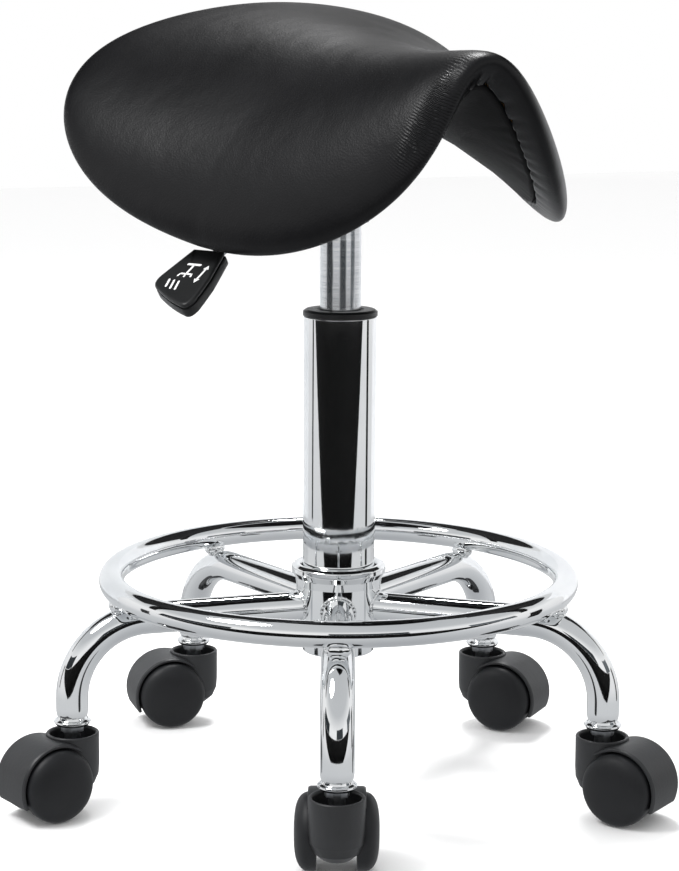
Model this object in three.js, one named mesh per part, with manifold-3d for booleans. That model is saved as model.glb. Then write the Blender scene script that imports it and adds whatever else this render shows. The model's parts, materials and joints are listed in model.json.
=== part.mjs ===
// Adjustable saddle stool: a padded saddle seat on a gas lift, a five-leg tubular base with a
// foot ring, and five twin-wheel swivel casters. Millimetres, +Z up. The origin is on the floor
// on the column's axis, and the front of the seat points along -Y.
import * as THREE from "three";
import { mergeVertices } from "three/addons/utils/BufferGeometryUtils.js";
import Module from "manifold-3d";

const wasm = await Module();
wasm.setup();

// ------------------------------------------------------------------ driving dimensions
const GAP = 0.3;                   // clearance kept between neighbouring pieces
const SIDES = 20;                  // facets round a turned piece
const DEG = Math.PI / 180;

// base
const LEG_COUNT = 5;
const BASE_TURN = -117.7;           // degrees, heading of the first leg
const LEG_RADIUS = 11;
const LEG_WALL = 1.5;
const ARM_Z = 130.7;               // axis of the level arm of a leg
const LEG_BEND = 52;
const STEM_REACH = 189.2;          // caster stems' distance from the column axis
const LEG_END_Z = 66;
const HUB_RADIUS = 29.5;
const HUB_LIP_RADIUS = 33;
const HUB_TOP_Z = 161;
const HUB_BOTTOM_Z = 111;
const RING_RADIUS = 157.6;
const RING_TUBE = 8.7;
const RING_WALL = 1.4;
const RING_Z = ARM_Z + LEG_RADIUS + RING_TUBE + GAP;

// gas lift
const COLUMN_RADIUS = 25;
const COLUMN_WALL = 1.6;
const COLUMN_BOTTOM_Z = 98;
const COLUMN_TOP_Z = 333;
const CYLINDER_RADIUS = 14;
const CYLINDER_BORE = 12;
const CYLINDER_BOTTOM_Z = 165;
const CYLINDER_TOP_Z = 409.5;
const ROD_RADIUS = 5;
const ROD_BOTTOM_Z = 91;
const PISTON_Z = 268;
const BUTTON_RADIUS = 4;
const BUTTON_TOP_Z = 414.4;

// casters
const WHEEL_RADIUS = 25;
const WHEEL_WIDTH = 14.6;
const WHEEL_GAP = 25.6;            // between the inner faces of the two wheels
const TRAIL = 21;                  // stem axis to wheel axis
const HOOD_RADIUS = 28.6;
const HOOD_WIDTH = 37;
const CUP_RADIUS = 18;
const CUP_TOP_Z = 55;
const WEB_BOTTOM_Z = 19.5;         // the web between the wheels stops here, under the axle
const AXLE_RADIUS = 3;
const STEM_RADIUS = 5.5;
// headings the five casters trail towards, degrees from each leg's own heading
const CASTER_TURN = [180, -16.8, -80, 71.5, 19.7];

// mechanism
const PLATE_TOP_Z = 435;
const PLATE_THICK = 3;
const PLATE_LENGTH = 100;          // fore and aft
const PLATE_WIDTH = 76;
const PLATE_BACK = 14;             // the plate's middle lies this far behind the column
const BOLT_SPACING_X = 60;
const BOLT_SPACING_Y = 88;
const BOLT_RADIUS = 3;
const CAN_RADIUS = 26;
const CAN_WALL = 2.5;
const CAN_FLOOR_Z = 404;
const SOCKET_RADIUS = 19;
const SOCKET_BOTTOM_Z = 397.5;
const LEVER_HEADING = 186.2;       // degrees: the user's right, a little forward
const LEVER_RADIUS = 4;
const LEVER_PIVOT = 27;            // distance of the lever's hinge from the column axis
const LEVER_PIVOT_Z = 410.3;
const LEVER_SLOPE = 21.7;          // degrees down, rod
const LEVER_BEND_AT = 70.7;        // hinge to bend, along the rod
const HANDLE_TURN = 19.1;          // degrees forward from the rod
const HANDLE_SLOPE = 32;           // degrees down, handle
const HANDLE_START = 10;           // from the bend
const HANDLE_THICK = 11;

// seat, in its own axes: s along the spine (+ to the pommel), t across, both along the skin
const SEAT = {
  front: 158.4, back: 176.8, half: 171.2, taper: 0.238,
  frontPower: 0.772, backPower: 0.582, widthPower: 0.646,
  frontRise: 32, frontRisePower: 2.14, backRise: 18.4, backRisePower: 1.66, tilt: -23.1,
  slope: [0.783, 0.304, 0.044, 0.088], ridge: 71.8, ridgeTaper: -49.8, curl: 0.329, dish: 0.192,
  halfThick: 26, edgePower: 1.88, thin: 0.066, seam: 0.9,
  pitch: -0.023, roll: 0.068, forward: 22, side: 7.7, height: 493.1,
};
const SHELL_THICK = 9;
const COVER_THICK = 1.6;

// ------------------------------------------------------------------ materials
function finish(color, roughness, metalness) {
  return new THREE.MeshStandardMaterial({ color, roughness, metalness });
}
const CHROME = finish("#d9dbde", 0.08, 1);
const STEEL = finish("#8f9296", 0.35, 1);
const BLACK_STEEL = finish("#26272a", 0.5, 0.6);
const PLASTIC = finish("#2f3032", 0.45, 0);
const TREAD = finish("#242527", 0.55, 0);
const RUBBER = finish("#1b1b1c", 0.85, 0);
const NYLON = finish("#d8d4c6", 0.5, 0);
const PU_LEATHER = finish("#1f1f20", 0.42, 0);
const FABRIC = finish("#141415", 0.95, 0);
const PLYWOOD = finish("#b98f5c", 0.7, 0);

const model = new THREE.Group();
const base = new THREE.Group();
base.rotation.z = BASE_TURN * DEG;
model.add(base);

function put(name, geometry, material, parent = model) {
  const mesh = new THREE.Mesh(geometry, material);
  mesh.name = name;
  parent.add(mesh);
  return mesh;
}

// ------------------------------------------------------------------ solids
function toSolid(geometry) {
  const bare = geometry.clone();
  bare.deleteAttribute("normal");
  bare.deleteAttribute("uv");
  const merged = mergeVertices(bare, 1e-4);
  return new wasm.Manifold(new wasm.Mesh({
    numProp: 3,
    vertProperties: new Float32Array(merged.attributes.position.array),
    triVerts: new Uint32Array(merged.index.array),
  }));
}

function toGeometry(solid) {
  const mesh = solid.getMesh();
  const geometry = new THREE.BufferGeometry();
  geometry.setAttribute("position", new THREE.BufferAttribute(new Float32Array(mesh.vertProperties), 3));
  geometry.setIndex(new THREE.BufferAttribute(new Uint32Array(mesh.triVerts), 1));
  geometry.computeVertexNormals();
  return geometry;
}

function cut(geometry, ...tools) {
  return toGeometry(tools.reduce((solid, tool) => solid.subtract(toSolid(tool)), toSolid(geometry)));
}

function join(geometry, ...others) {
  return toGeometry(others.reduce((solid, other) => solid.add(toSolid(other)), toSolid(geometry)));
}

// A turned piece about Z from [radius, z] pairs, listed upwards on its outer side.
function turned(profile, sides = SIDES) {
  const points = profile.map(([r, z]) => new THREE.Vector2(r, z));
  return new THREE.LatheGeometry(points, sides).rotateX(Math.PI / 2);
}

// A turned ring between two radii.
function sleeve(inner, outer, bottom, top, sides = SIDES) {
  return turned([[inner, bottom], [outer, bottom], [outer, top], [inner, top], [inner, bottom]], sides);
}

// A solid round bar about Z.
function bar(radius, bottom, top, sides = SIDES) {
  return turned([[0, bottom], [radius, bottom], [radius, top], [0, top]], sides);
}

function box(x0, x1, y0, y1, z0, z1) {
  return new THREE.BoxGeometry(x1 - x0, y1 - y0, z1 - z0)
    .translate((x0 + x1) / 2, (y0 + y1) / 2, (z0 + z1) / 2);
}

// A round section carried along a path, hollow when a bore is given.
function swept(path, radius, bore, sides) {
  const section = roundOutline(radius, sides);
  if (bore > 0) {
    section.holes.push(new THREE.Path(roundOutline(bore, sides).getPoints().reverse()));
  }
  return new THREE.ExtrudeGeometry(section, { extrudePath: path, steps: BEND_STEPS + 2, curveSegments: 1 });
}

function roundOutline(radius, sides) {
  const points = [];
  for (let i = 0; i < sides; i += 1) {
    const angle = (i / sides) * 2 * Math.PI;
    points.push(new THREE.Vector2(radius * Math.cos(angle), radius * Math.sin(angle)));
  }
  return new THREE.Shape(points);
}

// A straight run, a round bend and a second straight run. Stations are one for each straight
// run and BEND_STEPS round the bend, so they are even in u and not in length.
const BEND_STEPS = 6;
class BentPath extends THREE.Curve {
  constructor(start, corner, end, radius) {
    super();
    this.start = start;
    this.radius = radius;
    this.direction = corner.clone().sub(start).normalize();
    this.outward = end.clone().sub(corner).normalize();
    this.angle = this.direction.angleTo(this.outward);
    const setback = radius * Math.tan(this.angle / 2);
    this.first = start.distanceTo(corner) - setback;
    this.last = end.distanceTo(corner) - setback;
    const forward = this.direction.clone().multiplyScalar(this.outward.dot(this.direction));
    this.side = this.outward.clone().sub(forward).normalize();
  }

  getPoint(u, target = new THREE.Vector3()) {
    const station = u * (BEND_STEPS + 2);
    const along = Math.min(station, 1) * this.first;
    const turn = THREE.MathUtils.clamp((station - 1) / BEND_STEPS, 0, 1) * this.angle;
    const beyond = Math.max(station - 1 - BEND_STEPS, 0) * this.last;
    target.copy(this.start).addScaledVector(this.direction, along + this.radius * Math.sin(turn));
    target.addScaledVector(this.side, this.radius * (1 - Math.cos(turn)));
    return target.addScaledVector(this.outward, beyond);
  }

  getUtoTmapping(u) {
    return u;
  }
}

// ------------------------------------------------------------------ base
put("base_hub", turned([
  [COLUMN_RADIUS + GAP, HUB_BOTTOM_Z], [HUB_RADIUS, HUB_BOTTOM_Z], [HUB_RADIUS, HUB_TOP_Z - 6],
  [HUB_LIP_RADIUS, HUB_TOP_Z - 4], [HUB_LIP_RADIUS, HUB_TOP_Z - 1.2], [HUB_LIP_RADIUS - 1.5, HUB_TOP_Z],
  [COLUMN_RADIUS + 2, HUB_TOP_Z], [COLUMN_RADIUS + GAP, HUB_TOP_Z - 3], [COLUMN_RADIUS + GAP, HUB_BOTTOM_Z],
], 24), CHROME, base);

function legGeometry() {
  const path = new BentPath(
    new THREE.Vector3(HUB_RADIUS - 8, 0, ARM_Z),
    new THREE.Vector3(STEM_REACH, 0, ARM_Z),
    new THREE.Vector3(STEM_REACH, 0, LEG_END_Z),
    LEG_BEND,
  );
  const tube = swept(path, LEG_RADIUS, LEG_RADIUS - LEG_WALL, 10);
  return cut(tube, bar(HUB_RADIUS + GAP, 0, 200, 24));
}

// The stem socket in the leg's lower end: a plug inside the tube with a flange under it.
function socketGeometry() {
  const plug = LEG_RADIUS - LEG_WALL - 0.6;
  return turned([
    [STEM_RADIUS + GAP, LEG_END_Z - 5.5], [12.3, LEG_END_Z - 5.5], [12.6, LEG_END_Z - 3.5],
    [11.6, LEG_END_Z - 1.2], [plug, LEG_END_Z - 0.6], [plug, LEG_END_Z + 11],
    [STEM_RADIUS + GAP, LEG_END_Z + 11], [STEM_RADIUS + GAP, LEG_END_Z - 5.5],
  ], 12);
}

function stemGeometry() {
  const collar = LEG_END_Z - 6;
  return turned([
    [0, 22], [STEM_RADIUS - 1, 22], [STEM_RADIUS, 24], [STEM_RADIUS, collar - 4],
    [8, collar - 4], [8, collar], [STEM_RADIUS, collar], [STEM_RADIUS, LEG_END_Z + 9], [0, LEG_END_Z + 9],
  ], 10);
}

// Wheels turn about local Y. The profile runs from the bore out over the domed face.
function wheelGeometry() {
  const bore = AXLE_RADIUS + GAP;
  const profile = [
    [bore, 0], [WHEEL_RADIUS - 1, 0], [WHEEL_RADIUS, 1.5], [WHEEL_RADIUS - 0.6, 6.5],
    [WHEEL_RADIUS - 4, 11], [WHEEL_RADIUS - 13, WHEEL_WIDTH], [bore, WHEEL_WIDTH], [bore, 0],
  ];
  return turned(profile, 14).rotateX(-Math.PI / 2);
}

function drum(radius, halfWidth, sides) {
  return bar(radius, -halfWidth, halfWidth, sides).rotateX(Math.PI / 2).translate(TRAIL, 0, WHEEL_RADIUS);
}

// The caster's moulded body: a stem cup with a rounded foot, and a hood over the wheels.
function housingGeometry() {
  const cup = turned([
    [0, 13], [8, 14.4], [14, 19], [17.3, 26], [CUP_RADIUS, 32], [CUP_RADIUS, CUP_TOP_Z], [0, CUP_TOP_Z],
  ], 16);
  const edge = HOOD_WIDTH / 2;
  const hood = turned([
    [0, -edge], [HOOD_RADIUS - 1.6, -edge], [HOOD_RADIUS, -edge + 2], [HOOD_RADIUS, edge - 2],
    [HOOD_RADIUS - 1.6, edge], [0, edge],
  ], 20).rotateX(Math.PI / 2).translate(TRAIL, 0, WHEEL_RADIUS);
  const skirtCut = box(-60, 90, -40, 40, -20, 13);
  const beside = (side) => box(-60, 3, Math.min(12 * side, 40 * side), Math.max(12 * side, 40 * side), -20, 46);
  const underWeb = cut(drum(WHEEL_RADIUS + 1.4, 12, 20), box(-60, 90, -40, 40, WEB_BOTTOM_Z, 90));
  const clear = WHEEL_GAP / 2 - 0.8;
  const wheelRooms = [1, -1].map((side) => drum(WHEEL_RADIUS + 1.4, 20, 20).translate(0, side * (clear + 20), 0));
  const cavity = bar(CUP_RADIUS - 2.6, 43, 80, 14);
  const stemBore = bar(STEM_RADIUS + GAP, 21, 60, 10);
  const axleBore = drum(AXLE_RADIUS + GAP, 40, 10);
  return cut(join(cup, cut(hood, underWeb, beside(1), beside(-1))), skirtCut, ...wheelRooms, cavity, stemBore, axleBore);
}

function axleGeometry() {
  const end = WHEEL_GAP / 2 + WHEEL_WIDTH - 3;
  return drum(AXLE_RADIUS, end, 10);
}

const leg = legGeometry();
const socket = socketGeometry();
const stem = stemGeometry();
const housing = housingGeometry();
const axle = axleGeometry();
const wheel = wheelGeometry();
for (let i = 0; i < LEG_COUNT; i += 1) {
  const number = i + 1;
  const arm = new THREE.Group();
  arm.rotation.z = (i * 2 * Math.PI) / LEG_COUNT;
  base.add(arm);
  put(`leg_${number}`, leg, CHROME, arm);

  const end = new THREE.Group();
  end.position.x = STEM_REACH;
  end.rotation.z = CASTER_TURN[i] * DEG;
  arm.add(end);
  put(`leg_socket_${number}`, socket, CHROME, end);
  put(`caster_stem_${number}`, stem, STEEL, end);
  put(`caster_housing_${number}`, housing, PLASTIC, end);
  put(`caster_axle_${number}`, axle, STEEL, end);
  for (const [letter, side] of [["a", 1], ["b", -1]]) {
    const mesh = put(`wheel_${number}${letter}`, wheel, TREAD, end);
    mesh.position.set(TRAIL, side * (WHEEL_GAP / 2), WHEEL_RADIUS);
    mesh.rotation.z = side > 0 ? 0 : Math.PI;
  }
}

// The foot ring rests on the arms. The vent hole underneath is where plating fluid drains.
const ringTube = (radius, sides) => new THREE.TorusGeometry(RING_RADIUS, radius, sides, 32);
const vent = bar(2, -RING_TUBE - 2, 0, 8).translate(RING_RADIUS, 0, 0);
const ring = cut(ringTube(RING_TUBE, 8), ringTube(RING_TUBE - RING_WALL, 6), vent);
put("foot_ring", ring.rotateZ(36 * DEG).translate(0, 0, RING_Z), CHROME, base);

// ------------------------------------------------------------------ gas lift
const tubeBore = COLUMN_RADIUS - COLUMN_WALL;
put("lift_tube", turned([
  [ROD_RADIUS + 0.6, COLUMN_BOTTOM_Z], [COLUMN_RADIUS, COLUMN_BOTTOM_Z], [COLUMN_RADIUS, COLUMN_TOP_Z],
  [tubeBore, COLUMN_TOP_Z], [tubeBore, COLUMN_BOTTOM_Z + 3], [ROD_RADIUS + 0.6, COLUMN_BOTTOM_Z + 3],
  [ROD_RADIUS + 0.6, COLUMN_BOTTOM_Z],
], 28), CHROME);

put("lift_cap", turned([
  [CYLINDER_RADIUS + 0.4, COLUMN_TOP_Z + GAP], [COLUMN_RADIUS + 0.6, COLUMN_TOP_Z + GAP],
  [COLUMN_RADIUS + 0.6, COLUMN_TOP_Z + 3.4], [COLUMN_RADIUS - 0.8, COLUMN_TOP_Z + 4.8],
  [CYLINDER_RADIUS + 0.4, COLUMN_TOP_Z + 4.8], [CYLINDER_RADIUS + 0.4, COLUMN_TOP_Z + GAP],
], 28), PLASTIC);

put("guide_sleeve", sleeve(CYLINDER_RADIUS + 0.4, tubeBore - 0.3, 225, COLUMN_TOP_Z - 0.2), NYLON);
put("thrust_bearing", sleeve(ROD_RADIUS + 0.6, 17, COLUMN_BOTTOM_Z + 3.3, COLUMN_BOTTOM_Z + 9), STEEL);
put("bumper", sleeve(ROD_RADIUS + GAP, 10, COLUMN_BOTTOM_Z + 12.3, COLUMN_BOTTOM_Z + 22, 14), RUBBER);
put("retaining_clip", sleeve(ROD_RADIUS - 0.7, 8.5, COLUMN_BOTTOM_Z - 4.6, COLUMN_BOTTOM_Z - 3, 14), STEEL);

put("piston_rod", turned([
  [0, ROD_BOTTOM_Z], [ROD_RADIUS, ROD_BOTTOM_Z + 1], [ROD_RADIUS, COLUMN_BOTTOM_Z - 5],
  [ROD_RADIUS - 1, COLUMN_BOTTOM_Z - 5], [ROD_RADIUS - 1, COLUMN_BOTTOM_Z - 2.6],
  [ROD_RADIUS, COLUMN_BOTTOM_Z - 2.6], [ROD_RADIUS, COLUMN_BOTTOM_Z + 9.3],
  [9, COLUMN_BOTTOM_Z + 9.3], [9, COLUMN_BOTTOM_Z + 12], [ROD_RADIUS, COLUMN_BOTTOM_Z + 12],
  [ROD_RADIUS, PISTON_Z], [CYLINDER_BORE - 0.3, PISTON_Z], [CYLINDER_BORE - 0.3, PISTON_Z + 10],
  [0, PISTON_Z + 10],
], 14), STEEL);

// The pressure tube is open at its seal, where the rod enters, and at the valve pin on top.
put("gas_cylinder", turned([
  [ROD_RADIUS + 0.4, CYLINDER_BOTTOM_Z], [CYLINDER_RADIUS, CYLINDER_BOTTOM_Z],
  [CYLINDER_RADIUS, CYLINDER_TOP_Z - 24], [CYLINDER_RADIUS - 0.8, CYLINDER_TOP_Z],
  [BUTTON_RADIUS + GAP, CYLINDER_TOP_Z], [BUTTON_RADIUS + GAP, CYLINDER_TOP_Z - 15],
  [CYLINDER_BORE, CYLINDER_TOP_Z - 15], [CYLINDER_BORE, CYLINDER_BOTTOM_Z + 10],
  [ROD_RADIUS + 0.4, CYLINDER_BOTTOM_Z + 10], [ROD_RADIUS + 0.4, CYLINDER_BOTTOM_Z],
]), CHROME);

put("release_button", bar(BUTTON_RADIUS, CYLINDER_TOP_Z - 12, BUTTON_TOP_Z, 10), STEEL);

// ------------------------------------------------------------------ mechanism
// Pressed plate, round can and taper socket are one weldment. The lever leaves through a slot.
function plateGeometry() {
  const x = PLATE_WIDTH / 2;
  const back = PLATE_BACK + PLATE_LENGTH / 2;
  const front = PLATE_BACK - PLATE_LENGTH / 2;
  const flange = box(-x, x, front, back, PLATE_TOP_Z - PLATE_THICK, PLATE_TOP_Z);
  const can = bar(CAN_RADIUS, CAN_FLOOR_Z, PLATE_TOP_Z - 1, 24);
  const socketTube = bar(SOCKET_RADIUS, SOCKET_BOTTOM_Z, CAN_FLOOR_Z + 1);
  const room = bar(CAN_RADIUS - CAN_WALL, CAN_FLOOR_Z + CAN_WALL, PLATE_TOP_Z + 5, 24);
  const taper = bar(CYLINDER_RADIUS + GAP, SOCKET_BOTTOM_Z - 5, CAN_FLOOR_Z + 10);
  const slot = box(19, 60, -LEVER_RADIUS - 1.5, LEVER_RADIUS + 1.5, LEVER_PIVOT_Z - 8, LEVER_PIVOT_Z + 8)
    .rotateZ(LEVER_HEADING * DEG);
  return cut(join(flange, can, socketTube), room, taper, slot, ...boltHoles(BOLT_RADIUS + 0.4, 400, 460));
}

function boltPlaces() {
  const places = [];
  for (const sx of [1, -1]) {
    for (const sy of [1, -1]) {
      places.push([(sx * BOLT_SPACING_X) / 2, PLATE_BACK + (sy * BOLT_SPACING_Y) / 2]);
    }
  }
  return places;
}

function boltHoles(radius, bottom, top) {
  return boltPlaces().map(([x, y]) => bar(radius, bottom, top, 10).translate(x, y, 0));
}

put("seat_plate", plateGeometry(), BLACK_STEEL);

const boltHead = PLATE_TOP_Z - PLATE_THICK - GAP;
const bolt = turned([
  [0, boltHead - 4], [5.5, boltHead - 4], [5.5, boltHead], [BOLT_RADIUS, boltHead],
  [BOLT_RADIUS, PLATE_TOP_Z + 7], [0, PLATE_TOP_Z + 7],
], 10);
boltPlaces().forEach(([x, y], i) => {
  put(`seat_bolt_${i + 1}`, bolt, STEEL).position.set(x, y, 0);
});

// The lever is a steel rod. Its inner end lies over the release button, and it drops clear of
// the cushion's flap. Lengths are measured outwards from its hinge.
function onLever(geometry) {
  return geometry.translate(LEVER_PIVOT, 0, LEVER_PIVOT_Z).rotateZ(LEVER_HEADING * DEG);
}

function downwards(length, slope, turn = 0) {
  const level = length * Math.cos(slope * DEG);
  const drop = length * Math.sin(slope * DEG);
  return new THREE.Vector3(level * Math.cos(turn * DEG), level * Math.sin(turn * DEG), -drop);
}

const leverCorner = downwards(LEVER_BEND_AT, LEVER_SLOPE);
const leverPath = new BentPath(
  downwards(-LEVER_PIVOT - 5, LEVER_SLOPE),
  leverCorner,
  leverCorner.clone().add(downwards(HANDLE_START + 30, HANDLE_SLOPE, HANDLE_TURN)),
  20,
);
put("lever_rod", onLever(swept(leverPath, LEVER_RADIUS, 0, 10)), STEEL);

// The handle is a flat paddle moulded on the rod, widening to a skewed round tip.
function handleGeometry() {
  const outline = new THREE.Shape();
  outline.moveTo(0, -16);
  outline.lineTo(30, -23);
  outline.quadraticCurveTo(39, -24.5, 43, -17.5);
  outline.quadraticCurveTo(53, -1, 57.5, 13);
  outline.quadraticCurveTo(60, 20, 50, 20.5);
  outline.quadraticCurveTo(40, 19.5, 28, 17.5);
  outline.lineTo(0, 10);
  outline.closePath();
  const bevel = 1.5;
  const paddle = new THREE.ExtrudeGeometry(outline, {
    depth: HANDLE_THICK - 2 * bevel, bevelThickness: bevel, bevelSize: bevel, bevelSegments: 1,
    bevelOffset: -bevel, curveSegments: 4,
  }).translate(0, 0, bevel - HANDLE_THICK / 2);
  const rodHole = bar(LEVER_RADIUS + GAP, -5, 31, 10).rotateY(Math.PI / 2);
  return cut(paddle, rodHole)
    .translate(HANDLE_START, 0, 0)
    .rotateY(HANDLE_SLOPE * DEG)
    .rotateZ(HANDLE_TURN * DEG)
    .translate(leverCorner.x, 0, leverCorner.z);
}
put("lever_handle", onLever(handleGeometry()), PLASTIC);

// ------------------------------------------------------------------ seat
// Skin slope at distance t from the spine: it grows quickly over the ridge's width, then
// curls under at the flaps and flattens in the dish behind.
function skinSlope(s, t) {
  const u = s / 150;
  const [a, b, c, d] = SEAT.slope;
  const limit = a + b * u + c * u * u + d * u * u * u;
  const ridge = Math.max(SEAT.ridge + SEAT.ridgeTaper * u, 10);
  const curl = SEAT.curl * (t / 150) ** 3;
  const dish = SEAT.dish * Math.max(-u, 0) * (t / 150) ** 2;
  return (limit * t) / Math.hypot(t, ridge) + curl - dish;
}

// Middle of the padding at flat-pattern place (s, t): the slope is summed from the spine.
function middle(s, t) {
  const steps = 12;
  const span = Math.abs(t);
  let across = 0;
  let drop = 0;
  for (let i = 0; i < steps; i += 1) {
    const angle = skinSlope(s, (span * (i + 0.5)) / steps);
    across += (Math.cos(angle) * span) / steps;
    drop += (Math.sin(angle) * span) / steps;
  }
  const u = Math.abs(s / 150);
  const rise = s > 0
    ? SEAT.frontRise * u ** SEAT.frontRisePower
    : SEAT.backRise * u ** SEAT.backRisePower;
  return new THREE.Vector3(s, Math.sign(t) * across, rise + (SEAT.tilt * s) / 150 - drop);
}

function middleNormal(s, t) {
  const alongS = middle(s + 1, t).sub(middle(s - 1, t));
  const alongT = middle(s, t + 1).sub(middle(s, t - 1));
  return alongS.cross(alongT).normalize();
}

// Flat-pattern outline of the cushion at angle a, with rounded-square ends.
function outlinePoint(a) {
  const c = Math.cos(a);
  const d = Math.sin(a);
  const length = c > 0 ? SEAT.front : SEAT.back;
  const power = c > 0 ? SEAT.frontPower : SEAT.backPower;
  const s = length * Math.sign(c) * Math.abs(c) ** power;
  const t = SEAT.half * Math.sign(d) * Math.abs(d) ** SEAT.widthPower * (1 - (SEAT.taper * s) / 150);
  return [s, t];
}

function padding(rho, t) {
  const edge = Math.sqrt(Math.max(1 - rho ** SEAT.edgePower, 0));
  return SEAT.halfThick * edge * (1 - SEAT.thin * (t / 180) ** 2);
}

// A closed layer of the seat: rings of points out to the rim on its upper side and back on
// its lower side. upper and lower give heights along the normal from the padding's middle.
// Both sides split their quads along the same diagonal, so facing layers stay parallel.
function seatLayer(rings, upper, lower, turns) {
  const positions = [];
  const place = (rho, a, offset) => {
    const [s, t] = outlinePoint(a).map((value) => value * rho);
    const point = middle(s, t).addScaledVector(middleNormal(s, t), offset(rho, t));
    positions.push(point.x, point.y, point.z);
  };
  const sections = [];
  rings.forEach((rho) => sections.push([rho, upper]));
  [...rings].reverse().filter((rho) => rho < 1).forEach((rho) => sections.push([rho, lower]));
  sections.forEach(([rho, offset]) => {
    for (let i = 0; i < turns; i += 1) {
      place(rho, (i / turns) * 2 * Math.PI, offset);
    }
  });
  place(0, 0, upper);
  place(0, 0, lower);
  const top = sections.length * turns;
  const index = [];
  for (let i = 0; i < turns; i += 1) {
    const next = (i + 1) % turns;
    index.push(top, i, next);
    for (let j = 0; j < sections.length - 1; j += 1) {
      const a = j * turns;
      const b = a + turns;
      if (j < rings.length - 1) {
        index.push(a + i, b + i, b + next, a + i, b + next, a + next);
      } else {
        index.push(a + i, b + i, a + next, b + i, b + next, a + next);
      }
    }
    const last = (sections.length - 1) * turns;
    index.push(top + 1, last + next, last + i);
  }
  const geometry = new THREE.BufferGeometry();
  geometry.setAttribute("position", new THREE.Float32BufferAttribute(positions, 3));
  geometry.setIndex(index);
  return geometry;
}

function onSeat(geometry) {
  const tilt = new THREE.Matrix4().makeRotationFromEuler(new THREE.Euler(SEAT.roll, SEAT.pitch, 0));
  const heading = new THREE.Matrix4().makeBasis(
    new THREE.Vector3(0, -1, 0),
    new THREE.Vector3(1, 0, 0),
    new THREE.Vector3(0, 0, 1),
  );
  return geometry.applyMatrix4(tilt).translate(SEAT.forward, SEAT.side, SEAT.height).applyMatrix4(heading);
}

// Gaps between the layers under the padding. Each layer is laid on the one above it.
const coverDepth = (rho, t) => -padding(rho, t);
const coverTop = (rho, t) => coverDepth(rho, t) + COVER_THICK;
const shellBottom = (rho, t) => coverTop(rho, t) + 2 * GAP;
const shellTop = (rho, t) => shellBottom(rho, t) + SHELL_THICK;
const paddingFloor = (rho, t) => (rho < SEAT.seam ? shellTop(rho, t) + 2 * GAP : coverDepth(rho, t));
const INNER_RINGS = [0.24, 0.45, 0.62, 0.76, SEAT.seam - 0.05];
const PADDING_RINGS = [...INNER_RINGS, SEAT.seam - 0.022, SEAT.seam + 0.006, 0.955, 0.99, 1];
const SEAT_TURNS = 32;

put("seat_cushion", onSeat(seatLayer(PADDING_RINGS, padding, paddingFloor, SEAT_TURNS)), PU_LEATHER);

// Four bosses under the shell reach down to the plate. The trim keeps them below its top face.
const trimBottom = (rho, t) => shellTop(rho, t) - 2;
const trim = onSeat(seatLayer(INNER_RINGS, () => 70, trimBottom, SEAT_TURNS));
const bosses = boltPlaces().map(([x, y]) => cut(bar(9, PLATE_TOP_Z + GAP, 510, 14).translate(x, y, 0), trim));
const shell = join(onSeat(seatLayer(INNER_RINGS, shellTop, shellBottom, SEAT_TURNS)), ...bosses);
put("seat_shell", cut(shell, ...boltHoles(BOLT_RADIUS + GAP, 400, PLATE_TOP_Z + 8)), PLYWOOD);

const cover = onSeat(seatLayer(INNER_RINGS, coverTop, coverDepth, SEAT_TURNS));
put("under_cover", cut(cover, ...boltHoles(10.5, 400, 600)), FABRIC);

export default model;
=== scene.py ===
# %% [markdown]
# # An adjustable saddle stool
# A padded saddle seat stands on a gas lift, over a chromed five-leg base with a foot ring and
# twin-wheel casters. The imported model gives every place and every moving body. Each surface
# here is worked out with numpy on a grid of two parameters and then handed to a mesh.

# %% Load the frame
import json
import math

import bmesh
import bpy
import numpy as np
from mathutils import Matrix, Vector


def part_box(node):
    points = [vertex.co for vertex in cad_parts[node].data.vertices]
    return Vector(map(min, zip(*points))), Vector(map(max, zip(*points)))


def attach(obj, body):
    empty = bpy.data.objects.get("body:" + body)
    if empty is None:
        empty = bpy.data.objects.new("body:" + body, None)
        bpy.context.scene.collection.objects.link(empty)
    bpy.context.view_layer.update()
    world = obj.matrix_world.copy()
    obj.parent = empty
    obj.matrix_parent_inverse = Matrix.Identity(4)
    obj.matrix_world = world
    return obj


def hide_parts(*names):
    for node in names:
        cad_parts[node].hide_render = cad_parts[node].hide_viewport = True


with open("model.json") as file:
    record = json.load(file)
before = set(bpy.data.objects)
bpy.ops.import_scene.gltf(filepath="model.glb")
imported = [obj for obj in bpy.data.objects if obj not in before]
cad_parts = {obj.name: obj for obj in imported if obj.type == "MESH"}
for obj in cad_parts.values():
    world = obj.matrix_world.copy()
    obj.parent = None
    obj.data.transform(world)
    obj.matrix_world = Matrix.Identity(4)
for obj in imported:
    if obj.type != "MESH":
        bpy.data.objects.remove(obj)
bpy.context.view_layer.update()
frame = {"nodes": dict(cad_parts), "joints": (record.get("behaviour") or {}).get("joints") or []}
nodes = frame["nodes"]
joints = {joint["name"]: joint for joint in frame["joints"]}

# %% [markdown]
# ## Camera
# A long lens from a little over a metre and a half away, level with the seat and looking down
# ten degrees, so the near rim of the seat hides its underside except at the front.

# %% Camera
DISTANCE, EYE_HEIGHT, HEADING, PITCH, ROLL = 1.54685, 0.52285, -27.7, 10.0, 0.4

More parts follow.
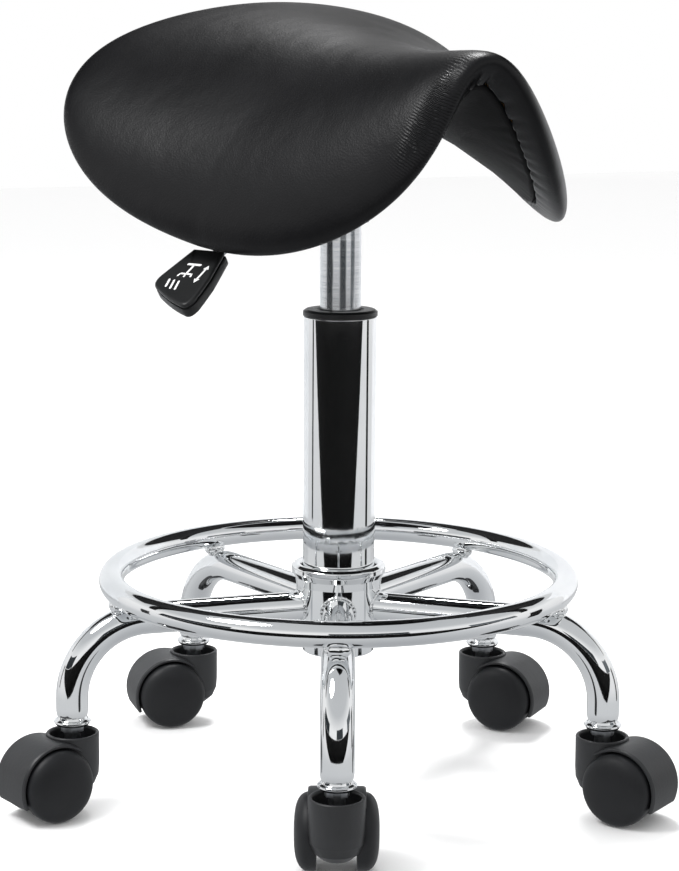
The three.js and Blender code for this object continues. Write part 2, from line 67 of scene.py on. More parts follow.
camera_data = bpy.data.cameras.new("camera")
camera_data.lens = 94.12
camera_data.sensor_width = 36
camera = bpy.data.objects.new("camera", camera_data)
bpy.context.scene.collection.objects.link(camera)
bpy.context.scene.camera = camera
heading = math.radians(HEADING)
camera.matrix_world = (
    Matrix.Translation((DISTANCE * math.sin(heading), -DISTANCE * math.cos(heading), EYE_HEIGHT))
    @ Matrix.Rotation(heading, 4, "Z")
    @ Matrix.Rotation(math.radians(90 - PITCH), 4, "X")
    @ Matrix.Rotation(math.radians(ROLL), 4, "Z")
)
print("camera lens:", camera_data.lens, "mm")

# %% [markdown]
# ## Materials
# One function turns a hex colour to linear light, and one adds a node with its settings and
# links. Every material below is built from those two.

# %% Material helpers
MM = 0.001


def linear(hex_colour):
    """An sRGB hex colour as linear red, green, blue and alpha."""
    channels = [int(hex_colour[i : i + 2], 16) / 255 for i in (1, 3, 5)]
    return [c / 12.92 if c <= 0.04045 else ((c + 0.055) / 1.055) ** 2.4 for c in channels] + [1]


def add(tree, kind, links=(), **settings):
    """Adds a node. Settings name its properties or its inputs, and links are (input, output)."""
    node = tree.nodes.new(kind)
    for name, value in settings.items():
        if hasattr(node, name):
            setattr(node, name, value)
        else:
            node.inputs[name.replace("_", " ")].default_value = value
    for name, output in links:
        tree.links.new(output, node.inputs[name])
    return node


def start_material(name, **settings):
    """A new material with a Principled shader, whose sockets are set by keyword."""
    material = bpy.data.materials.new(name)
    material.use_nodes = True
    tree = material.node_tree
    shader = tree.nodes["Principled BSDF"]
    for socket, value in settings.items():
        shader.inputs[socket.replace("_", " ")].default_value = value
    place = add(tree, "ShaderNodeTexCoord").outputs["Object"]
    return material, tree, shader, place


def ramp(tree, source, low, high, dark, light):
    """Colours between two hex values as a factor goes from low to high."""
    node = add(tree, "ShaderNodeValToRGB", [("Fac", source)])
    node.color_ramp.elements[0].position = low
    node.color_ramp.elements[0].color = linear(dark)
    node.color_ramp.elements[1].position = high
    node.color_ramp.elements[1].color = linear(light)
    return node.outputs["Color"]


def spread(tree, source, low, high):
    """A factor from 0 to 1, sent to the range low to high."""
    node = add(tree, "ShaderNodeMapRange", [("Value", source)])
    node.inputs["To Min"].default_value = low
    node.inputs["To Max"].default_value = high
    return node.outputs["Result"]


# %% [markdown]
# ### Chrome plating
# Nickel and chromium over polished steel tube: nearly a mirror, slightly blue, with a faint
# orange peel from the polishing wheel, which bends long reflections.

# %% Chrome
chrome, tree, shader, place = start_material("decorative chrome plate", Metallic=1.0)
peel = add(tree, "ShaderNodeTexNoise", [("Vector", place)], Scale=55.0, Detail=2.0)
haze = add(tree, "ShaderNodeTexNoise", [("Vector", place)], Scale=14.0, Detail=4.0)
bump = add(tree, "ShaderNodeBump", [("Height", peel.outputs["Fac"])], Strength=0.05, Distance=0.0006)
tree.links.new(ramp(tree, haze.outputs["Fac"], 0.3, 0.7, "#e6e8ea", "#f3f4f4"), shader.inputs["Base Color"])
tree.links.new(spread(tree, haze.outputs["Fac"], 0.02, 0.07), shader.inputs["Roughness"])
tree.links.new(bump.outputs["Normal"], shader.inputs["Normal"])

# %% [markdown]
# ### Ground steel
# The gas cylinder is ground and hard plated. The grinding runs round it, so its lines are
# stretched about the axis and a highlight widens up and down. The fasteners are zinc plated.

# %% Ground steel and zinc
ground, tree, shader, place = start_material("ground and plated steel", Metallic=1.0)
squash = add(tree, "ShaderNodeMapping", [("Vector", place)], Scale=(0.02, 0.02, 1.0))
lines = add(tree, "ShaderNodeTexNoise", [("Vector", squash.outputs["Vector"])], Scale=1800.0, Detail=1.0)
bump = add(tree, "ShaderNodeBump", [("Height", lines.outputs["Fac"])], Strength=0.03, Distance=0.0002)
tree.links.new(ramp(tree, lines.outputs["Fac"], 0.3, 0.7, "#c9cccf", "#dfe1e3"), shader.inputs["Base Color"])
tree.links.new(spread(tree, lines.outputs["Fac"], 0.14, 0.2), shader.inputs["Roughness"])
tree.links.new(bump.outputs["Normal"], shader.inputs["Normal"])

zinc, tree, shader, place = start_material("zinc plated steel", Metallic=1.0)
spangle = add(tree, "ShaderNodeTexNoise", [("Vector", place)], Scale=240.0, Detail=4.0)
tree.links.new(ramp(tree, spangle.outputs["Fac"], 0.3, 0.7, "#8d9094", "#b3b6b9"), shader.inputs["Base Color"])
tree.links.new(spread(tree, spangle.outputs["Fac"], 0.26, 0.42), shader.inputs["Roughness"])

# %% [markdown]
# ### Black powder coat, moulded nylon, rubber and wood
# The pressed plate is powder coated, which dries to a fine orange peel. Housings, wheels and
# the lever's paddle are moulded in a spark-eroded tool, which leaves a matt grain about
# 0.4 mm across. It is drawn at 0.6 mm so that it shows.

# %% Coats and mouldings


def moulded(name, dark, light, grain_mm, rough, depth, specular=0.5):
    """A plastic or paint: a fine grain in the bump, and a slow drift in colour and gloss."""
    material, tree, shader, place = start_material(name, Specular_IOR_Level=specular)
    grain = add(tree, "ShaderNodeTexNoise", [("Vector", place)], Scale=1000.0 / grain_mm / 4, Detail=3.0)
    drift = add(tree, "ShaderNodeTexNoise", [("Vector", place)], Scale=22.0, Detail=4.0)
    bump = add(tree, "ShaderNodeBump", [("Height", grain.outputs["Fac"])], Strength=depth, Distance=0.0003)
    tree.links.new(ramp(tree, drift.outputs["Fac"], 0.3, 0.7, dark, light), shader.inputs["Base Color"])
    tree.links.new(spread(tree, drift.outputs["Fac"], rough - 0.05, rough + 0.06), shader.inputs["Roughness"])
    tree.links.new(bump.outputs["Normal"], shader.inputs["Normal"])
    return material


powder = moulded("black powder coat", "#1b1c1e", "#232426", 1.2, 0.42, 0.35)
housing_nylon = moulded("spark-grained nylon, charcoal", "#202123", "#28292b", 0.6, 0.44, 0.3, 0.4)
wheel_nylon = moulded("moulded wheel nylon", "#16171a", "#1d1e20", 0.8, 0.5, 0.22, 0.3)
paddle_nylon = moulded("glass-filled nylon, black", "#121314", "#191a1b", 0.7, 0.38, 0.25, 0.35)
rubber = moulded("vulcanised rubber", "#171718", "#1e1e1f", 0.9, 0.8, 0.3)
acetal = moulded("natural acetal", "#cfcabb", "#dad6c9", 2.0, 0.42, 0.05)
ink = moulded("white pad-print ink", "#e4e5e6", "#f2f2f2", 1.0, 0.5, 0.05)

birch, tree, shader, place = start_material("birch plywood", Roughness=0.6)
stretch = add(tree, "ShaderNodeMapping", [("Vector", place)], Scale=(14.0, 1.0, 60.0))
figure = add(tree, "ShaderNodeTexNoise", [("Vector", stretch.outputs["Vector"])], Scale=14.0, Detail=6.0)
tree.links.new(ramp(tree, figure.outputs["Fac"], 0.3, 0.7, "#a97f4e", "#c9a574"), shader.inputs["Base Color"])

# %% [markdown]
# ### Coated upholstery and lining
# The seat's skin is polyurethane on a knit: black, with a soft sheen, and a calendered grain
# of shallow cells about 1.2 mm across. The slow height noise is the foam pushing at it. The
# lining under the seat is the same cloth, duller.

# %% Upholstery


def coated_cloth(name, dark, light, rough, grain_depth, gloss, sheen, gathered=False):
    """Cells from a Voronoi pattern for the grain, and a slow noise for the foam beneath.

    Where it is gathered, a sine of the length along the rim, 1.9 mm from crease to crease and
    shaken by noise, is added to the height as much as the mesh's gather value says.
    """
    material, tree, shader, place = start_material(
        name, Specular_IOR_Level=gloss, Sheen_Weight=sheen, Sheen_Roughness=0.5, IOR=1.48)
    cells = add(tree, "ShaderNodeTexVoronoi", [("Vector", place)], Scale=820.0, Randomness=1.0,
                feature="SMOOTH_F1")
    drift = add(tree, "ShaderNodeTexNoise", [("Vector", place)], Scale=16.0, Detail=5.0)
    foam = add(tree, "ShaderNodeTexNoise", [("Vector", place)], Scale=26.0, Detail=3.0)
    slow = add(tree, "ShaderNodeBump", [("Height", foam.outputs["Fac"])], Strength=0.3, Distance=0.0025)
    fine = add(tree, "ShaderNodeBump", [("Height", cells.outputs["Distance"]), ("Normal", slow.outputs["Normal"])],
               Strength=grain_depth, Distance=0.0004)
    tree.links.new(ramp(tree, drift.outputs["Fac"], 0.3, 0.7, dark, light), shader.inputs["Base Color"])
    tree.links.new(spread(tree, drift.outputs["Fac"], rough - 0.04, rough + 0.05), shader.inputs["Roughness"])
    last = fine
    if gathered:
        length = add(tree, "ShaderNodeAttribute", attribute_name="rim_length")
        mask = add(tree, "ShaderNodeAttribute", attribute_name="gather")
        shake = add(tree, "ShaderNodeTexNoise", [("Vector", place)], Scale=170.0, Detail=2.0)
        turns = add(tree, "ShaderNodeMath", [("Value", length.outputs["Fac"])], operation="MULTIPLY")
        turns.inputs[1].default_value = 2 * math.pi / (1.9 * MM)
        shaken = add(tree, "ShaderNodeMath", [("Value", shake.outputs["Fac"])], operation="MULTIPLY_ADD")
        shaken.inputs[1].default_value = 9.0
        tree.links.new(turns.outputs[0], shaken.inputs[2])
        crease = add(tree, "ShaderNodeMath", [("Value", shaken.outputs[0])], operation="SINE")
        height = add(tree, "ShaderNodeMath", [("Value", crease.outputs[0])], operation="MULTIPLY")
        tree.links.new(mask.outputs["Fac"], height.inputs[1])
        last = add(tree, "ShaderNodeBump", [("Height", height.outputs[0]), ("Normal", fine.outputs["Normal"])],
                   Strength=1.0, Distance=0.0006)
    tree.links.new(last.outputs["Normal"], shader.inputs["Normal"])
    return material


upholstery = coated_cloth("polyurethane coated cloth, black", "#09090b", "#0e0e10", 0.36, 0.2, 0.2, 0.0, True)
lining = coated_cloth("lining cloth, black", "#0b0b0c", "#101011", 0.6, 0.3, 0.1, 0.0)
print("materials:", len(bpy.data.materials))

# %% [markdown]
# ## Mesh helpers
# A surface is an array of rows and columns of points. Rows close into rings, a ring that has
# shrunk to a point is merged, and the faces are turned outwards once the shell is closed.

# %% From arrays to meshes


def quads_of(points, start):
    """The four corners of every cell of a grid whose columns close into a ring."""
    rows, columns = points.shape[:2]
    index = np.arange(rows * columns).reshape(rows, columns) + start
    index = np.hstack([index, index[:, :1]])
    cells = [index[:-1, :-1], index[:-1, 1:], index[1:, 1:], index[1:, :-1]]
    return np.stack(cells, axis=-1).reshape(-1, 4)


def surface(name, grids, material, body, replaces=(), crease=40, values=None):
    """One piece from one or more closed grids of points in metres, in the row frame."""
    faces, start = [], 0
    for grid in grids:
        faces.append(quads_of(grid, start))
        start += grid.shape[0] * grid.shape[1]
    mesh = bpy.data.meshes.new(name)
    vertices = np.concatenate([grid.reshape(-1, 3) for grid in grids])
    mesh.from_pydata(vertices.tolist(), [], np.concatenate(faces).tolist())
    for key, numbers in (values or {}).items():
        mesh.attributes.new(key, "FLOAT", "POINT").data.foreach_set("value", np.ravel(numbers).astype(np.float32))
    shell = bmesh.new()
    shell.from_mesh(mesh)
    bmesh.ops.remove_doubles(shell, verts=shell.verts, dist=2e-6)
    bmesh.ops.recalc_face_normals(shell, faces=shell.faces)
    shell.to_mesh(mesh)
    shell.free()
    mesh.shade_smooth()
    mesh.set_sharp_from_angle(angle=math.radians(crease))
    piece = bpy.data.objects.new(name, mesh)
    bpy.context.scene.collection.objects.link(piece)
    mesh.materials.append(material)
    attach(piece, body)
    if replaces:
        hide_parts(*replaces)
    print(name, len(mesh.polygons), "faces")
    return piece


def blunted(corners, radius, steps=5):
    """A profile whose inner corners are arcs of the given radius, with a guard point each side.

    The arc's centre lies on the corner's bisector, radius / sin(half angle) away, and its
    points turn evenly from one tangent point to the other.
    """
    corners = np.asarray(corners, float)
    here, before, after = corners[1:-1], corners[:-2], corners[2:]
    back = (before - here) / np.linalg.norm(before - here, axis=1)[:, None]
    ahead = (after - here) / np.linalg.norm(after - here, axis=1)[:, None]
    half = np.arccos(np.clip((back * ahead).sum(1), -1, 1)) / 2
    room = np.minimum(np.linalg.norm(before - here, axis=1), np.linalg.norm(after - here, axis=1)) * 0.42
    reach = np.minimum(radius / np.tan(half), room)
    size = (reach * np.tan(half))[:, None]
    middle = (back + ahead) / np.linalg.norm(back + ahead, axis=1)[:, None]
    centre = here + middle * size / np.sin(half)[:, None]
    first, last = here + back * reach[:, None] - centre, here + ahead * reach[:, None] - centre
    sweep = (np.pi - 2 * half)[:, None, None]
    share = np.linspace(0, 1, steps + 1)[None, :, None]
    arc = (np.sin((1 - share) * sweep) * first[:, None] + np.sin(share * sweep) * last[:, None]) / np.sin(sweep)
    guard = reach[:, None] * 1.15
    rows = np.concatenate([(here + back * guard)[:, None], centre[:, None] + arc, (here + ahead * guard)[:, None]], 1)
    return np.concatenate([corners[:1], rows.reshape(-1, corners.shape[1]), corners[-1:]])


def turned(profile, sides=72):
    """A profile of (radius, height) pairs in millimetres, carried round Z."""
    profile = np.asarray(profile, float)
    angle = np.arange(sides) * 2 * np.pi / sides
    ring = np.stack([np.cos(angle), np.sin(angle), np.zeros(sides)], 1)
    up = np.array([0, 0, 1.0])
    return (profile[:, 0, None, None] * ring + profile[:, 1, None, None] * up) * MM


def placed(points, x=0.0, y=0.0, z=0.0, turn=0.0):
    """Points turned about Z by an angle in radians, then moved."""
    c, s = math.cos(turn), math.sin(turn)
    spin = np.array([[c, -s, 0], [s, c, 0], [0, 0, 1]])
    return points @ spin.T + np.array([x, y, z])


def tube(centres, across, up, radius, sides=40):
    """A round tube: centres and two unit vectors for each station, and a radius for each."""
    angle = np.arange(sides) * 2 * np.pi / sides
    radius = np.broadcast_to(np.asarray(radius, float), (len(centres),))
    ring = np.cos(angle)[None, :, None] * across[:, None] + np.sin(angle)[None, :, None] * up[:, None]
    return centres[:, None] + radius[:, None, None] * ring


# %% [markdown]
# ## The base
# Five bent tubes are welded into a turned hub and carry the foot ring. The leg's path is a
# straight arm, a quarter bend of 52 mm and a short drop, written by its length. The last few
# millimetres are necked down over the caster's flange.

# %% Places from the frame
LEG_COUNT = 5
stems = [joints[f"caster_{k}_swivel"]["pos_m"][:2] for k in range(1, LEG_COUNT + 1)]
leg_turns = [math.atan2(y, x) for x, y in stems]
reach = float(np.hypot(*stems[0])) / MM
ARM_Z, LEG_RADIUS, LEG_BEND, LEG_END_Z = 130.7, 11.0, 52.0, 66.0
HUB_RADIUS, HUB_BOTTOM, HUB_TOP = 29.5, 111.0, 161.0
COLUMN_RADIUS, COLUMN_BORE, COLUMN_BOTTOM, COLUMN_TOP = 25.0, 23.4, 98.0, 333.0
ROD_HOLE, CYLINDER_RADIUS, CYLINDER_BOTTOM, CYLINDER_TOP = 5.6, 14.0, 165.0, 409.5
RING_RADIUS, RING_TUBE = 157.6, 8.7
RING_Z = ARM_Z + LEG_RADIUS + RING_TUBE + 0.3
print("stem reach", round(reach, 1), "mm; leg headings", [round(math.degrees(a), 1) for a in leg_turns])

# %% Legs


def leg_path(stations):
    """Centre and direction on the leg at each length: arm, then bend, then drop, in XZ."""
    arm = reach - LEG_BEND - (HUB_RADIUS - 3)
    bend = LEG_BEND * np.pi / 2
    turn = np.clip((stations - arm) / LEG_BEND, 0, np.pi / 2)
    x = HUB_RADIUS - 3 + np.minimum(stations, arm) + LEG_BEND * np.sin(turn)
    z = ARM_Z - LEG_BEND * (1 - np.cos(turn)) - np.maximum(stations - arm - bend, 0)
    centre = np.stack([x, np.zeros_like(x), z], 1)
    up = np.stack([np.sin(turn), np.zeros_like(x), np.cos(turn)], 1)
    return centre, up


leg_length = reach - LEG_BEND - (HUB_RADIUS - 3) + LEG_BEND * np.pi / 2 + ARM_Z - LEG_BEND - LEG_END_Z
last_stations = leg_length - np.array([6, 5, 4, 3, 2, 1.2, 0.5, 0.1, 0])
stations = np.concatenate([np.linspace(0, leg_length - 7, 80), last_stations])
centre, up = leg_path(stations)
to_end = leg_length - stations
neck = LEG_RADIUS - 0.9 * (1 - np.clip(to_end / 6, 0, 1)) ** 2 - 0.5 * (1 - np.clip(to_end / 0.6, 0, 1))
neck[-1] = 8.0
across = np.tile([0.0, 1.0, 0.0], (len(stations), 1))
leg_grid = tube(centre * MM, across, up, neck * MM)
for k in range(LEG_COUNT):
    surface(f"leg_tube_{k + 1}", [placed(leg_grid, turn=leg_turns[k])], chrome, "base",
            [f"leg_{k + 1}"], crease=55)

# %% [markdown]
# ### Flange under each leg
# The pressed socket shows as a bright dished flange between the tube and the caster's cup.

# %% Leg flanges
flange_profile = blunted([
    (5.8, LEG_END_Z - 5.5), (11.2, LEG_END_Z - 5.5), (12.6, LEG_END_Z - 3.6), (12.4, LEG_END_Z - 2.4),
    (10.4, LEG_END_Z - 1.4), (9.9, LEG_END_Z - 0.2), (8.6, LEG_END_Z + 3), (5.8, LEG_END_Z + 3),
    (5.8, LEG_END_Z - 5.5),
], 0.6, 3)
for k, (x, y) in enumerate(stems):
    surface(f"leg_flange_{k + 1}", [placed(turned(flange_profile, 48), x, y)], chrome, "base",
            [f"leg_socket_{k + 1}"])

# %% [markdown]
# ### Hub and foot ring
# The hub is one turned boss. Its top is a broad rounded lip, with a dark gap where the column
# drops in. The ring is a bent tube whose two ends meet in a ground weld behind.

# %% Hub and ring
hub_profile = blunted([
    (25.4, HUB_BOTTOM), (29.0, HUB_BOTTOM), (29.5, HUB_BOTTOM + 1), (29.5, HUB_TOP - 15),
    (30.2, HUB_TOP - 9.5), (33.0, HUB_TOP - 5.5), (32.7, HUB_TOP - 1.8), (30.0, HUB_TOP),
    (27.2, HUB_TOP - 0.1), (26.2, HUB_TOP - 2.2), (25.4, HUB_TOP - 6), (25.4, HUB_BOTTOM),
], 1.6, 5)
surface("hub", [turned(hub_profile, 128)], chrome, "base", ["base_hub"])

around = np.linspace(0, 2 * np.pi, 241)[:-1]
outward = np.stack([np.cos(around), np.sin(around), np.zeros_like(around)], 1)
vertical = np.tile([0.0, 0.0, 1.0], (len(around), 1))
ring_centres = outward * RING_RADIUS + vertical * RING_Z
ring_grid = tube(ring_centres * MM, outward, vertical, RING_TUBE * MM, 40)
ring_grid = np.concatenate([ring_grid, ring_grid[:1]])
surface("foot_ring_tube", [ring_grid], chrome, "base", ["foot_ring"])

# %% [markdown]
# ### Welds
# Each arm meets the hub in a bead that follows the line where two cylinders cross, and the
# ring sits on each arm in a plated weld pool. Small waves along the bead are the torch's steps.

# %% Weld beads
weld_grids = []
for turn in leg_turns:
    angle = np.linspace(0, 2 * np.pi, 97)
    y = (LEG_RADIUS + 0.3) * np.cos(angle)
    z = ARM_Z + (LEG_RADIUS + 0.3) * np.sin(angle)
    x = np.sqrt(HUB_RADIUS**2 - y**2)
    path = np.stack([x, y, z], 1)
    ahead = np.gradient(path, axis=0)
    ahead /= np.linalg.norm(ahead, axis=1)[:, None]
    side = np.cross(ahead, np.array([1.0, 0, 0]))
    side /= np.linalg.norm(side, axis=1)[:, None]
    bead = 1.25 + 0.16 * np.sin(angle * 24)
    weld_grids.append(placed(tube(path * MM, side, np.cross(side, ahead), bead * MM, 14), turn=turn))
    # a pool between ring and arm: a low mound, wider across the arm than along it
    lift = np.linspace(-np.pi / 2, np.pi / 2, 25)
    spin = np.linspace(0, 2 * np.pi, 49)[:-1]
    swell = 1 + 0.05 * np.sin(spin * 7)[None] * np.cos(lift)[:, None]
    pool = np.stack([
        RING_RADIUS + 0.8 + 4.6 * np.cos(lift)[:, None] * np.cos(spin)[None] * swell,
        8.4 * np.cos(lift)[:, None] * np.sin(spin)[None] * swell,
        140.4 + 5.2 * np.sin(lift)[:, None] + 0 * spin[None],
    ], -1)
    weld_grids.append(placed(pool * MM, turn=turn))
surface("base_welds", weld_grids, chrome, "base", crease=80)

# %% [markdown]
# ## The gas lift
# The outer tube is chromed, 50 mm across and closed by a black moulded cap. The ground
# cylinder slides in a plastic guide. A short taper at its top seats in the mechanism.

# %% Column, cap and cylinder
column_profile = blunted([
    (ROD_HOLE, COLUMN_BOTTOM), (COLUMN_RADIUS - 0.8, COLUMN_BOTTOM), (COLUMN_RADIUS, COLUMN_BOTTOM + 1),
    (COLUMN_RADIUS, COLUMN_TOP), (COLUMN_BORE, COLUMN_TOP), (COLUMN_BORE, COLUMN_BOTTOM + 3),
    (ROD_HOLE, COLUMN_BOTTOM + 3), (ROD_HOLE, COLUMN_BOTTOM),
], 0.5, 3)
surface("column_tube", [turned(column_profile, 128)], chrome, "base", ["lift_tube"])

cap_profile = blunted([
    (14.4, 333.3), (25.6, 333.3), (25.6, 336.6), (23.6, 338.0), (16.6, 338.0), (14.4, 336.8), (14.4, 333.3),
], 0.6, 4)
surface("column_cap", [turned(cap_profile, 96)], paddle_nylon, "base", ["lift_cap"])

cylinder_profile = blunted([
    (5.4, CYLINDER_BOTTOM), (CYLINDER_RADIUS - 0.4, CYLINDER_BOTTOM), (CYLINDER_RADIUS, CYLINDER_BOTTOM + 1),
    (CYLINDER_RADIUS, CYLINDER_TOP - 24), (CYLINDER_RADIUS - 0.8, CYLINDER_TOP), (4.3, CYLINDER_TOP),
    (4.3, CYLINDER_TOP - 15), (12.0, CYLINDER_TOP - 15), (12.0, CYLINDER_BOTTOM + 10),
    (5.4, CYLINDER_BOTTOM + 10), (5.4, CYLINDER_BOTTOM),
], 0.4, 2)
surface("cylinder_tube", [turned(cylinder_profile, 96)], ground, "seat", ["gas_cylinder"])

# %% [markdown]
# ## Casters
# A moulded stem cup, open at the top and round below, grows out of a hood over two wheels.
# The hood is a T in section, a thin cap over a thick web, carried round the axle. Where it
# would fill the cup's hollow it is pressed down to the cup's floor.

# %% Caster shapes
WHEEL_RADIUS, TRAIL, HOOD_RADIUS, HOOD_HALF, WHEEL_INNER = 25.0, 21.0, 28.6, 18.5, 12.8
CUP_RADIUS = 18.0

cup_profile = np.concatenate([
    blunted([(0, 13.2), (9.0, 14.6), (14.6, 19.4), (17.4, 26), (17.9, 33), (18.0, 54.4), (17.4, 55.0),
             (16.2, 55.0), (15.4, 53.6), (15.2, 43.0), (6.0, 43.0), (5.8, 30.0)], 2.0, 5),
    [(0.0, 30.0)],
])


def hood_grid():
    """The T section, dense across its cap, carried round the axle from skirt to skirt."""
    section = blunted([
        (12.0, 3.6), (12.0, 26.3), (HOOD_HALF - 0.4, 26.3), (HOOD_HALF, 26.8), (HOOD_HALF - 0.2, 27.9),
        (HOOD_HALF - 1.8, HOOD_RADIUS), (0.0, HOOD_RADIUS + 0.05),
    ], 0.5, 3)
    length = np.concatenate([[0], np.cumsum(np.linalg.norm(np.diff(section, axis=0), axis=1))])
    even = np.unique(np.concatenate([length, np.arange(0, length[-1], 1.0)]))
    half = np.stack([np.interp(even, length, section[:, 0]), np.interp(even, length, section[:, 1])], 1)
    whole = np.concatenate([half, (half * [-1, 1])[::-1][1:]])
    turn = np.radians(np.linspace(-24.5, 204.5, 150))[:, None]
    y, r = whole[None, :, 0], whole[None, :, 1]
    # beside the cup the cap stops, and only the web goes on round
    turn = np.where(np.abs(y) > 12.01, np.minimum(turn, math.radians(129)), turn)
    x = TRAIL + r * np.cos(turn)
    z = WHEEL_RADIUS + r * np.sin(turn)
    grid = np.stack([x, y + 0 * x, z], -1)
    # skirts: the lowest edge is cut level and the ends are closed to a point inside the web
    grid[..., 2] = np.maximum(grid[..., 2], np.where((r + 0 * x < 26.2) | (x < TRAIL), 19.5, 13.2))
    heart = np.mean(grid[[0, -1]], axis=1, keepdims=True) + 0 * grid[[0, -1]]
    grid = np.concatenate([heart[:1], grid, heart[1:]])
    inside = np.hypot(grid[..., 0], grid[..., 1]) < CUP_RADIUS - 1.5
    grid[..., 2] = np.where(inside, np.minimum(grid[..., 2], 42.6), grid[..., 2])
    return grid * MM


# The wheel's outer face is a dome: a quarter of a squared-off ellipse over its width.
dome = np.linspace(0, np.pi / 2, 24)
dome_r = (WHEEL_RADIUS - 0.05) * np.cos(dome) ** 0.62
dome_y = 4.2 + 10.2 * np.sin(dome) ** 0.86
wheel_profile = np.concatenate([
    [(3.3, 0.0), (20.0, 0.0), (20.3, 2.2), (22.6, 2.2), (22.9, 0.0)],
    blunted([(22.9, 0.0), (24.4, 0.0), (WHEEL_RADIUS, 0.8), (WHEEL_RADIUS, 4.2)], 0.4, 3)[1:-1],
    np.stack([dome_r, dome_y], 1)[:-1], [(0.0, 14.4)], [(0.0, 12.0), (3.3, 12.0), (3.3, 0.0)],
])
caster_hood = hood_grid()
wheel_grid = turned(wheel_profile, 72)[..., [0, 2, 1]] * [1, 1, -1]

for k, (x, y) in enumerate(stems):
    wheel_at = joints[f"wheel_{k + 1}a_spin"]["pos_m"]
    turn = math.atan2(wheel_at[1] - y, wheel_at[0] - x)
    shell_grids = [placed(turned(cup_profile, 72), x, y, 0, turn), placed(caster_hood, x, y, 0, turn)]
    surface(f"caster_shell_{k + 1}", shell_grids, housing_nylon,
            f"caster_{k + 1}", [f"caster_housing_{k + 1}"], crease=32)
    for letter, side in (("a", 1), ("b", -1)):
        local = wheel_grid * [1, side, 1] + np.array([TRAIL, side * WHEEL_INNER, WHEEL_RADIUS]) * MM
        surface(f"wheel_moulding_{k + 1}{letter}", [placed(local, x, y, 0, turn)], wheel_nylon,
                f"wheel_{k + 1}{letter}", [f"wheel_{k + 1}{letter}"], crease=28)

# %% [markdown]
# ## Release lever
# A bent steel rod leaves the mechanism on the user's right and carries a flat paddle. The
# paddle is a stack of copies of one outline, each moved in by its own inset: the step at
# mid-height is the groove where the cap of the moulding meets its body.

# %% Lever rod
LEVER_HEADING, LEVER_PIVOT, LEVER_PIVOT_Z = math.radians(186.2), 27.0, 410.3
LEVER_SLOPE, HANDLE_SLOPE, HANDLE_TURN = math.radians(21.7), math.radians(32.0), math.radians(19.1)


def downwards(length, slope, turn=0.0):
    """A step of that length, falling by slope and turned about Z."""
    level = length * math.cos(slope)
    return np.array([level * math.cos(turn), level * math.sin(turn), -length * math.sin(slope)])


def on_lever(points_mm):
    """From lever axes, in millimetres from its hinge, to the row frame in metres."""
    return placed((points_mm + np.array([LEVER_PIVOT, 0, LEVER_PIVOT_Z])) * MM, turn=LEVER_HEADING)


def framed_tube(path, radius, sides=24):
    """A tube along any path that never runs straight up, closed at both ends."""
    ahead = np.gradient(path, axis=0)
    ahead /= np.linalg.norm(ahead, axis=1)[:, None]
    side = np.cross(ahead, np.array([0, 0, 1.0]))
    side /= np.linalg.norm(side, axis=1)[:, None]
    body = tube(path, side, np.cross(side, ahead), radius, sides)
    ends = [path[[0]][:, None] + np.zeros((1, sides, 3)), path[[-1]][:, None] + np.zeros((1, sides, 3))]
    return np.concatenate([ends[0], body, ends[1]])


corner = downwards(70.7, LEVER_SLOPE)
rod_path = blunted([downwards(-32, LEVER_SLOPE), corner, corner + downwards(40, HANDLE_SLOPE, HANDLE_TURN)], 20, 12)
surface("lever_bar", [on_lever(framed_tube(rod_path, 4.0))], zinc, "lever", ["lever_rod"], crease=60)

# %% Paddle


def curve(start, control, end, steps=14):
    """Points on a quadratic curve, which leaves start towards control and arrives at end."""
    t = np.linspace(0, 1, steps)[:, None]
    return (1 - t) ** 2 * np.array(start) + 2 * t * (1 - t) * np.array(control) + t**2 * np.array(end)


def even_ring(points, count):
    """A closed outline resampled to evenly spaced points."""
    loop = np.vstack([points, points[:1]])
    length = np.concatenate([[0], np.cumsum(np.linalg.norm(np.diff(loop, axis=0), axis=1))])
    at = np.linspace(0, length[-1], count, endpoint=False)
    return np.stack([np.interp(at, length, loop[:, 0]), np.interp(at, length, loop[:, 1])], 1)


def stack(outline, layers):
    """Copies of a closed outline at (inset, height) pairs, with both faces closed."""
    run = np.roll(outline, -1, 0) - np.roll(outline, 1, 0)
    run /= np.linalg.norm(run, axis=1)[:, None]
    inward = np.stack([-run[:, 1], run[:, 0]], 1)
    heart = outline.mean(0)
    rows = [np.append(heart, layers[0][1])[None] + np.zeros((len(outline), 3))]
    for inset, height in layers:
        rows.append(np.column_stack([outline + inward * inset, np.full(len(outline), height)]))
    rows.append(np.append(heart, layers[-1][1])[None] + np.zeros((len(outline), 3)))
    return np.stack(rows)


def on_handle(points):
    """From paddle axes, x outwards and z off its top face, to the row frame in metres."""
    c, s = math.cos(HANDLE_SLOPE), math.sin(HANDLE_SLOPE)
    pitch = np.array([[c, 0, s], [0, 1, 0], [-s, 0, c]])
    c, s = math.cos(HANDLE_TURN), math.sin(HANDLE_TURN)
    spin = np.array([[c, -s, 0], [s, c, 0], [0, 0, 1]])
    return on_lever((points + [10.0, 0, 0]) @ pitch.T @ spin.T + corner)


